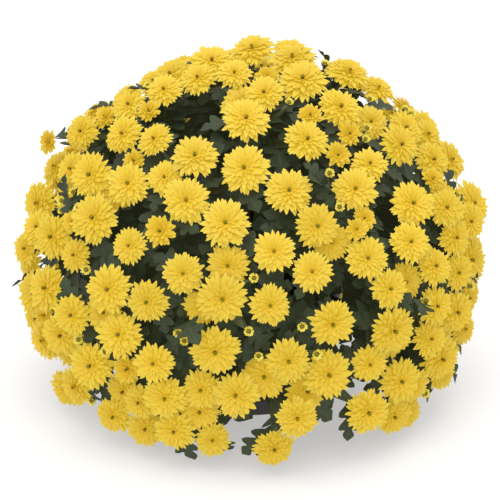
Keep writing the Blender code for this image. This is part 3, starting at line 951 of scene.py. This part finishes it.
@dataclass
class LeafShape:
    """A lobed leaf of unit length, with two lobes and a notch on each side and a lobe at its tip.

    Attributes:
        rows: The blade from its stalk to its tip: places along the midrib, each with the half width there
            and how far the edge runs on towards the tip.
    """

    rows: tuple[tuple[float, float, float], ...] = (
        (0.000, 0.022, 0.000), (0.140, 0.026, 0.000), (0.200, 0.060, 0.000), (0.260, 0.170, 0.030),
        (0.310, 0.270, 0.080), (0.360, 0.290, 0.120), (0.410, 0.220, 0.100), (0.450, 0.120, 0.050),
        (0.490, 0.085, 0.020), (0.530, 0.160, 0.030), (0.580, 0.280, 0.080), (0.630, 0.310, 0.120),
        (0.680, 0.240, 0.100), (0.720, 0.130, 0.050), (0.760, 0.100, 0.020), (0.810, 0.145, 0.020),
        (0.860, 0.155, 0.020), (0.910, 0.115, 0.010), (0.955, 0.060, 0.000), (1.000, 0.000, 0.000),
    )
    rise: float = 0.10
    droop: float = 0.20
    droop_range: tuple[float, float] = (0.6, 1.6)
    bend: float = 0.10
    fold: float = 0.30
    ripple: float = 0.03
    ripples: float = 6
    ripple_fade: float = 4
    waver: float = 0.25
    wavers: float = 7
    noise_reach: float = 9

    def mesh(self, name: str, rng: random.Random) -> bpy.types.Mesh:
        """Builds the leaf.

        Args:
            name: The shape's name.
            rng: The source of random draws.

        Returns:
            The leaf as a mesh to copy.
        """
        bm = bmesh.new()
        bm.loops.layers.uv.new("UVMap")
        last = len(self.rows) - 1
        grid = bmesh.ops.create_grid(bm, x_segments=4, y_segments=last, size=0.5, calc_uvs=True)["verts"]
        phase = Vector([rng.uniform(0, self.noise_reach) for _ in range(3)])
        droop = self.droop * rng.uniform(*self.droop_range)
        bent = rng.uniform(-self.bend, self.bend)
        for v in grid:
            share, width, sweep = self.rows[round((v.co.y + 0.5) * last)]
            side = v.co.x * 2
            width *= 1 + noise.noise(phase + Vector((share * self.wavers, side, 0))) * self.waver
            x = share + abs(side) * sweep
            y = side * width + bent * share * share
            lift = self.rise * math.sin(math.pi * x) - droop * x * x + self.fold * abs(side) * width
            swell = noise.noise(phase + Vector((x * self.ripples, y * self.ripples, 3)))
            lift += swell * self.ripple * min(1.0, share * self.ripple_fade)
            v.co = Vector((x, y, lift))
        bmesh.ops.remove_doubles(bm, verts=bm.verts, dist=WELD)
        return template_mesh(name, bm)


@dataclass
class Foliage:
    """All the leaves and branch stems.

    Attributes:
        samples: The places along and across a leaf that are tested against the heads.
        head_width: The radius of the space that is kept free round a head, as a share of the head's.
        head_below: How far below the head's rim that space starts, as such a share.
        head_above: How far above it the space ends.
    """

    stock: list[bpy.types.Mesh]
    leaf: bpy.types.Material
    stalk: bpy.types.Material
    heads: list[Place]
    count: int = 0
    tufts: int = 4
    tuft_lengths: tuple[float, float] = (0.040, 0.062)
    outward_share: float = 0.6
    middle_height: float = 0.13
    face_height: float = 0.10
    face_sky: float = 0.6
    stalk_shares: tuple[float, ...] = (0.10, 0.32, 0.55, 0.78)
    stalk_tries: int = 10
    stalk_leans: tuple[float, float] = (0.6, 1.3)
    stalk_lengths: tuple[float, float] = (0.033, 0.052)
    stalk_long: float = 1.10
    stalk_loss: float = 0.3
    least_height: float = 0.008
    samples: tuple[tuple[float, float], ...] = (
        (0.4, 0), (0.7, 0), (1.0, 0), (0.45, 0.3), (0.45, -0.3), (0.75, 0.25), (0.75, -0.25))
    head_width: float = 1.02
    head_below: float = 0.25
    head_above: float = 0.6

    def outward(self, place: Vector, rng: random.Random) -> Vector:
        """Gives a random direction that leads away from the plant's middle.

        Args:
            place: Where the direction starts.
            rng: The source of random draws.

        Returns:
            The unit direction.
        """
        out = (place - UP * self.middle_height).normalized()
        aside = Vector((rng.gauss(0, 1), rng.gauss(0, 1), rng.gauss(0, 1))).normalized()
        return (out * self.outward_share + aside).normalized()

    def add_leaf(self, bm: BMesh, foot: Vector, along: Vector, length: float,
                 rng: random.Random) -> bool:
        """Adds one leaf where it keeps out of the blooms and off the floor.

        Args:
            bm: The mesh under work.
            foot: Where the leaf leaves its stem.
            along: The way it runs.
            length: Its length.
            rng: The source of random draws.

        Returns:
            Whether the leaf was added.
        """
        face = (foot - UP * self.face_height).normalized() + UP * self.face_sky
        upper = face - along * along.dot(face)
        place = Place(foot, along, upper.normalized(), length)
        if foot.z + along.z * length < self.least_height or not self.clears_heads(place):
            return False
        add_copy(bm, rng.choice(self.stock), place.leaf_matrix(), rng.random())
        self.count += 1
        return True

    def branch(self, node: bpy.types.Object, rng: random.Random) -> None:
        """Builds a branch's fine leaves and stem, which stand for its solid.

        Args:
            node: The branch's solid.
            rng: The source of random draws.
        """
        number = node.name[-2:]
        solid = SolidReader.joined(node)
        found = SolidReader.leaves(solid)
        leaves = bmesh.new()
        for place, _ in found:
            add_copy(leaves, rng.choice(self.stock), place.leaf_matrix(), rng.random())
            for _ in range(self.tufts):
                along = self.outward(place.centre, rng)
                self.add_leaf(leaves, place.centre, along, rng.uniform(*self.tuft_lengths), rng)
        made = finished_object(f"branch_leaves_{number}", leaves, [self.leaf])
        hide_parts(node.name)
        blades = [v for _, verts in found for v in verts]
        bmesh.ops.delete(solid, geom=blades, context="VERTS")
        round_off(solid)
        finished_object(f"branch_stem_{number}", solid, [self.stalk])

    def clears_heads(self, place: Place) -> bool:
        """Says whether a leaf keeps out of the blooms.

        Args:
            place: The leaf's place.

        Returns:
            Whether none of its sample points lies in a head's space.
        """
        side = place.upper.cross(place.axis)
        points = [place.centre + (place.axis * a + side * b) * place.size for a, b in self.samples]
        for head in self.heads:
            for p in points:
                offset = p - head.centre
                high = offset.dot(head.axis)
                flat = (offset - head.axis * high).length
                level = -self.head_below * head.size < high < self.head_above * head.size
                if level and flat < head.size * self.head_width:
                    return False
        return True

    def stalk_leaves(self, number: str, heads: list[Place], rng: random.Random) -> None:
        """Builds the leaves on the stalks of one spray's heads.

        Args:
            number: The spray's number.
            heads: The spray's heads.
            rng: The source of random draws.
        """
        leaves = bmesh.new()
        for head in heads:
            stalk = head.neck - head.foot
            way = stalk.normalized()
            for share in self.stalk_shares:
                for _ in range(self.stalk_tries):
                    turn = Matrix.Rotation(rng.uniform(0, math.tau), 3, way)
                    out = turn @ way.orthogonal().normalized()
                    lean = rng.uniform(*self.stalk_leans)
                    along = (out * math.sin(lean) + way * math.cos(lean)).normalized()
                    length = rng.uniform(*self.stalk_lengths) * (self.stalk_long - self.stalk_loss * share)
                    if self.add_leaf(leaves, head.foot + stalk * share, along, length, rng):
                        break
        if leaves.verts:
            finished_object(f"stalk_leaves_{number}", leaves, [self.leaf])
        else:
            leaves.free()


@dataclass
class NurseryPot:
    """The plain tapered pot, turned from its profile."""

    rim: float = 0.095
    base: float = 0.070
    height: float = 0.135
    wall: float = 0.0025
    floor: float = 0.003
    lip: float = 0.011
    proud: float = 0.004
    edge: float = 0.001
    foot_edge: float = 0.004
    recess: float = 0.0012
    segments: int = 96
    crease: float = 0.5

    def radius(self, z: float) -> float:
        """Gives the outside radius at a height."""
        return self.base + (self.rim - self.base) * z / self.height

    def profile(self) -> list[tuple[float, float]]:
        """Gives the section.

        Returns:
            Radii with heights, from the middle of the inside floor over the rim to that of the underside.
        """
        low = self.height - self.lip
        lip_low = self.radius(low) + self.proud
        lip_top = self.rim + self.proud
        return [
            (0.0, self.floor), (self.radius(self.floor) - self.wall - 0.002, self.floor),
            (self.radius(0.006) - self.wall, 0.006), (self.radius(low) - self.wall, low),
            (self.rim, self.height - 0.0008), (self.rim + self.edge, self.height),
            (lip_top - self.edge, self.height), (lip_top, self.height - self.edge),
            (lip_low + 0.0006, low + 0.0012), (lip_low - 0.0004, low),
            (self.radius(low - 0.002) + 0.0006, low - self.edge), (self.radius(low - 0.004), low - 0.004),
            (self.radius(self.foot_edge), self.foot_edge), (self.radius(self.edge) - self.edge, self.edge),
            (self.base - 0.003, 0.0), (self.base - 0.010, 0.0),
            (self.base - 0.012, self.recess), (0.0, self.recess),
        ]

    def build(self, finish: bpy.types.Material) -> None:
        """Turns the pot and gives it its finish.

        Args:
            finish: The plastic.
        """
        bm = bmesh.new()
        ring = [bm.verts.new((r, 0, z)) for r, z in self.profile()]
        edges = [bm.edges.new(pair) for pair in zip(ring, ring[1:])]
        bmesh.ops.spin(bm, geom=ring + edges, cent=Vector(), axis=UP, angle=math.tau, steps=self.segments,
                       use_merge=True)
        bmesh.ops.remove_doubles(bm, verts=bm.verts, dist=WELD)
        bmesh.ops.recalc_face_normals(bm, faces=bm.faces)
        made = finished_object("pot", bm, [finish], crease=self.crease)
        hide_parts("nursery_pot")


@dataclass
class PottingSoil:
    """The soil: a mounded and crumbly top on a plain tapered body."""

    top: float = 0.118
    mound: float = 0.006
    edge: float = 0.0885
    grain: float = 0.0016
    cells: int = 64
    fine: float = 260
    coarse: float = 90
    coarse_share: float = 0.6
    rim_fade: float = 5
    foot_share: float = 0.79
    foot: float = 0.0034

    def build(self, finish: bpy.types.Material) -> None:
        """Builds the soil and gives it its finish.

        Args:
            finish: The soil's material.
        """
        bm = bmesh.new()
        disc = bmesh.ops.create_grid(bm, x_segments=self.cells, y_segments=self.cells, size=1.0)["verts"]
        for v in disc:
            square = Vector((v.co.x, v.co.y, 0))
            reach = max(abs(square.x), abs(square.y))
            flat = square.normalized() * reach * self.edge if reach else square
            low = math.cos(reach * math.pi / 2)
            crumb = noise.noise(flat * self.fine) + self.coarse_share * noise.noise(flat * self.coarse)
            crumb = crumb * self.grain * min(1, self.rim_fade - self.rim_fade * reach)
            v.co = Vector((flat.x, flat.y, self.top + self.mound * low + crumb))
        rim = [e for e in bm.edges if e.is_boundary]
        drawn = bmesh.ops.extrude_edge_only(bm, edges=rim)["geom"]
        for v in [g for g in drawn if isinstance(g, bmesh.types.BMVert)]:
            v.co = Vector((v.co.x * self.foot_share, v.co.y * self.foot_share, self.foot))
        bmesh.ops.holes_fill(bm, edges=[e for e in bm.edges if e.is_boundary], sides=0)
        bmesh.ops.recalc_face_normals(bm, faces=bm.faces)
        made = finished_object("soil", bm, [finish])
        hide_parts("potting_soil")


@dataclass(frozen=True)
class SoftLight:
    """A square soft light."""

    name: str
    place: tuple[float, float, float]
    size: float
    power: float


@dataclass
class Studio:
    """A pale floor, soft lights, a white sky and the camera."""

    distance: float = 1.6
    elevation: float = math.radians(20)
    target: Vector = field(default_factory=lambda: Vector((-0.002, 0, 0.150)))
    lens: float = 115.2
    floor_reach: float = 30
    sky: float = 0.98
    lights: tuple[SoftLight, ...] = (
        SoftLight("key", (-0.4, -2.0, 2.0), 2.0, 26),
        SoftLight("top", (0.1, -0.4, 2.6), 2.2, 26),
    )

    def lay_floor(self) -> None:
        """Lays the pale floor."""
        bm = bmesh.new()
        bmesh.ops.create_grid(bm, x_segments=1, y_segments=1, size=self.floor_reach)
        mesh = bpy.data.meshes.new("floor")
        bm.to_mesh(mesh)
        bm.free()
        mesh.materials.append(FloorFinish().material())
        made = bpy.data.objects.new("floor", mesh)
        bpy.context.scene.collection.objects.link(made)

    def hang(self, light: SoftLight) -> None:
        """Hangs a light that looks at the target.

        Args:
            light: The light.
        """
        lamp = bpy.data.lights.new(light.name, "AREA")
        lamp.size = light.size
        lamp.energy = light.power
        made = bpy.data.objects.new(light.name, lamp)
        made.location = light.place
        made.rotation_mode = "QUATERNION"
        made.rotation_quaternion = (Vector(light.place) - self.target).to_track_quat("Z", "Y")
        bpy.context.scene.collection.objects.link(made)

    def light_sky(self) -> None:
        """Makes the white sky, and shows colours without a film look."""
        world = bpy.data.worlds.new("studio")
        bpy.context.scene.world = world
        world.use_nodes = True
        background = world.node_tree.nodes["Background"]
        background.inputs["Color"].default_value = (1, 1, 1, 1)
        background.inputs["Strength"].default_value = self.sky
        bpy.context.scene.view_settings.view_transform = "Standard"

    def set_camera(self) -> None:
        """Sets up the camera in front of the plant, a little above it."""
        camera = bpy.data.cameras.new("camera")
        camera.lens = self.lens
        made = bpy.data.objects.new("camera", camera)
        back = Vector((0, -math.cos(self.elevation), math.sin(self.elevation)))
        made.location = self.target + back * self.distance
        made.rotation_mode = "QUATERNION"
        made.rotation_quaternion = back.to_track_quat("Z", "Y")
        bpy.context.scene.collection.objects.link(made)
        bpy.context.scene.camera = made

    def build(self) -> None:
        """Builds the floor, the lights, the sky and the camera."""
        self.lay_floor()
        for light in self.lights:
            self.hang(light)
        self.light_sky()
        self.set_camera()


def build_crown(node: bpy.types.Object, finish: bpy.types.Material) -> None:
    """Builds the rounded woody base, which stands for its solid.

    Args:
        node: The crown's solid.
        finish: The bark.
    """
    bm = SolidReader.joined(node)
    round_off(bm)
    made = finished_object("woody_base", bm, [finish])
    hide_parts(node.name)


def main() -> None:
    """Builds the plant, the pot and the studio in order."""
    logging.basicConfig(level=logging.INFO, format="%(message)s")
    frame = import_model()
    rng = random.Random(SEED)
    nodes = frame["nodes"]

    petal = PetalFinish().material()
    eye = EyeFinish().material()
    stalk = StalkFinish().material()
    pale_petal = PALE_BUD.material()
    leaf = LeafFinish().material()
    stock = BloomStock()
    stock.build(rng)
    leaf_shapes = [LeafShape().mesh(f"leaf_{i}", rng) for i in range(LEAF_SHAPES)]

    sprays = {}
    for name in sorted(n for n in nodes if n.startswith("flower_spray")):
        places = FlowerSpray(nodes[name], stock, [petal, eye, stalk, pale_petal], stalk).build(rng)
        sprays[name[-2:]] = places
        LOG.info("%s: %d heads", name, len(places))
    heads = [place for places in sprays.values() for place in places]
    foliage = Foliage(leaf_shapes, leaf, stalk, heads)
    for name in sorted(n for n in nodes if n.startswith("leafy_branch")):
        foliage.branch(nodes[name], rng)
    for number, places in sprays.items():
        foliage.stalk_leaves(number, places, rng)
    LOG.info("%d more leaves", foliage.count)

    build_crown(nodes["crown"], BarkFinish().material())
    NurseryPot().build(PotFinish().material())
    PottingSoil().build(SoilFinish().material())
    Studio().build()


if __name__ == "__main__":
    main()
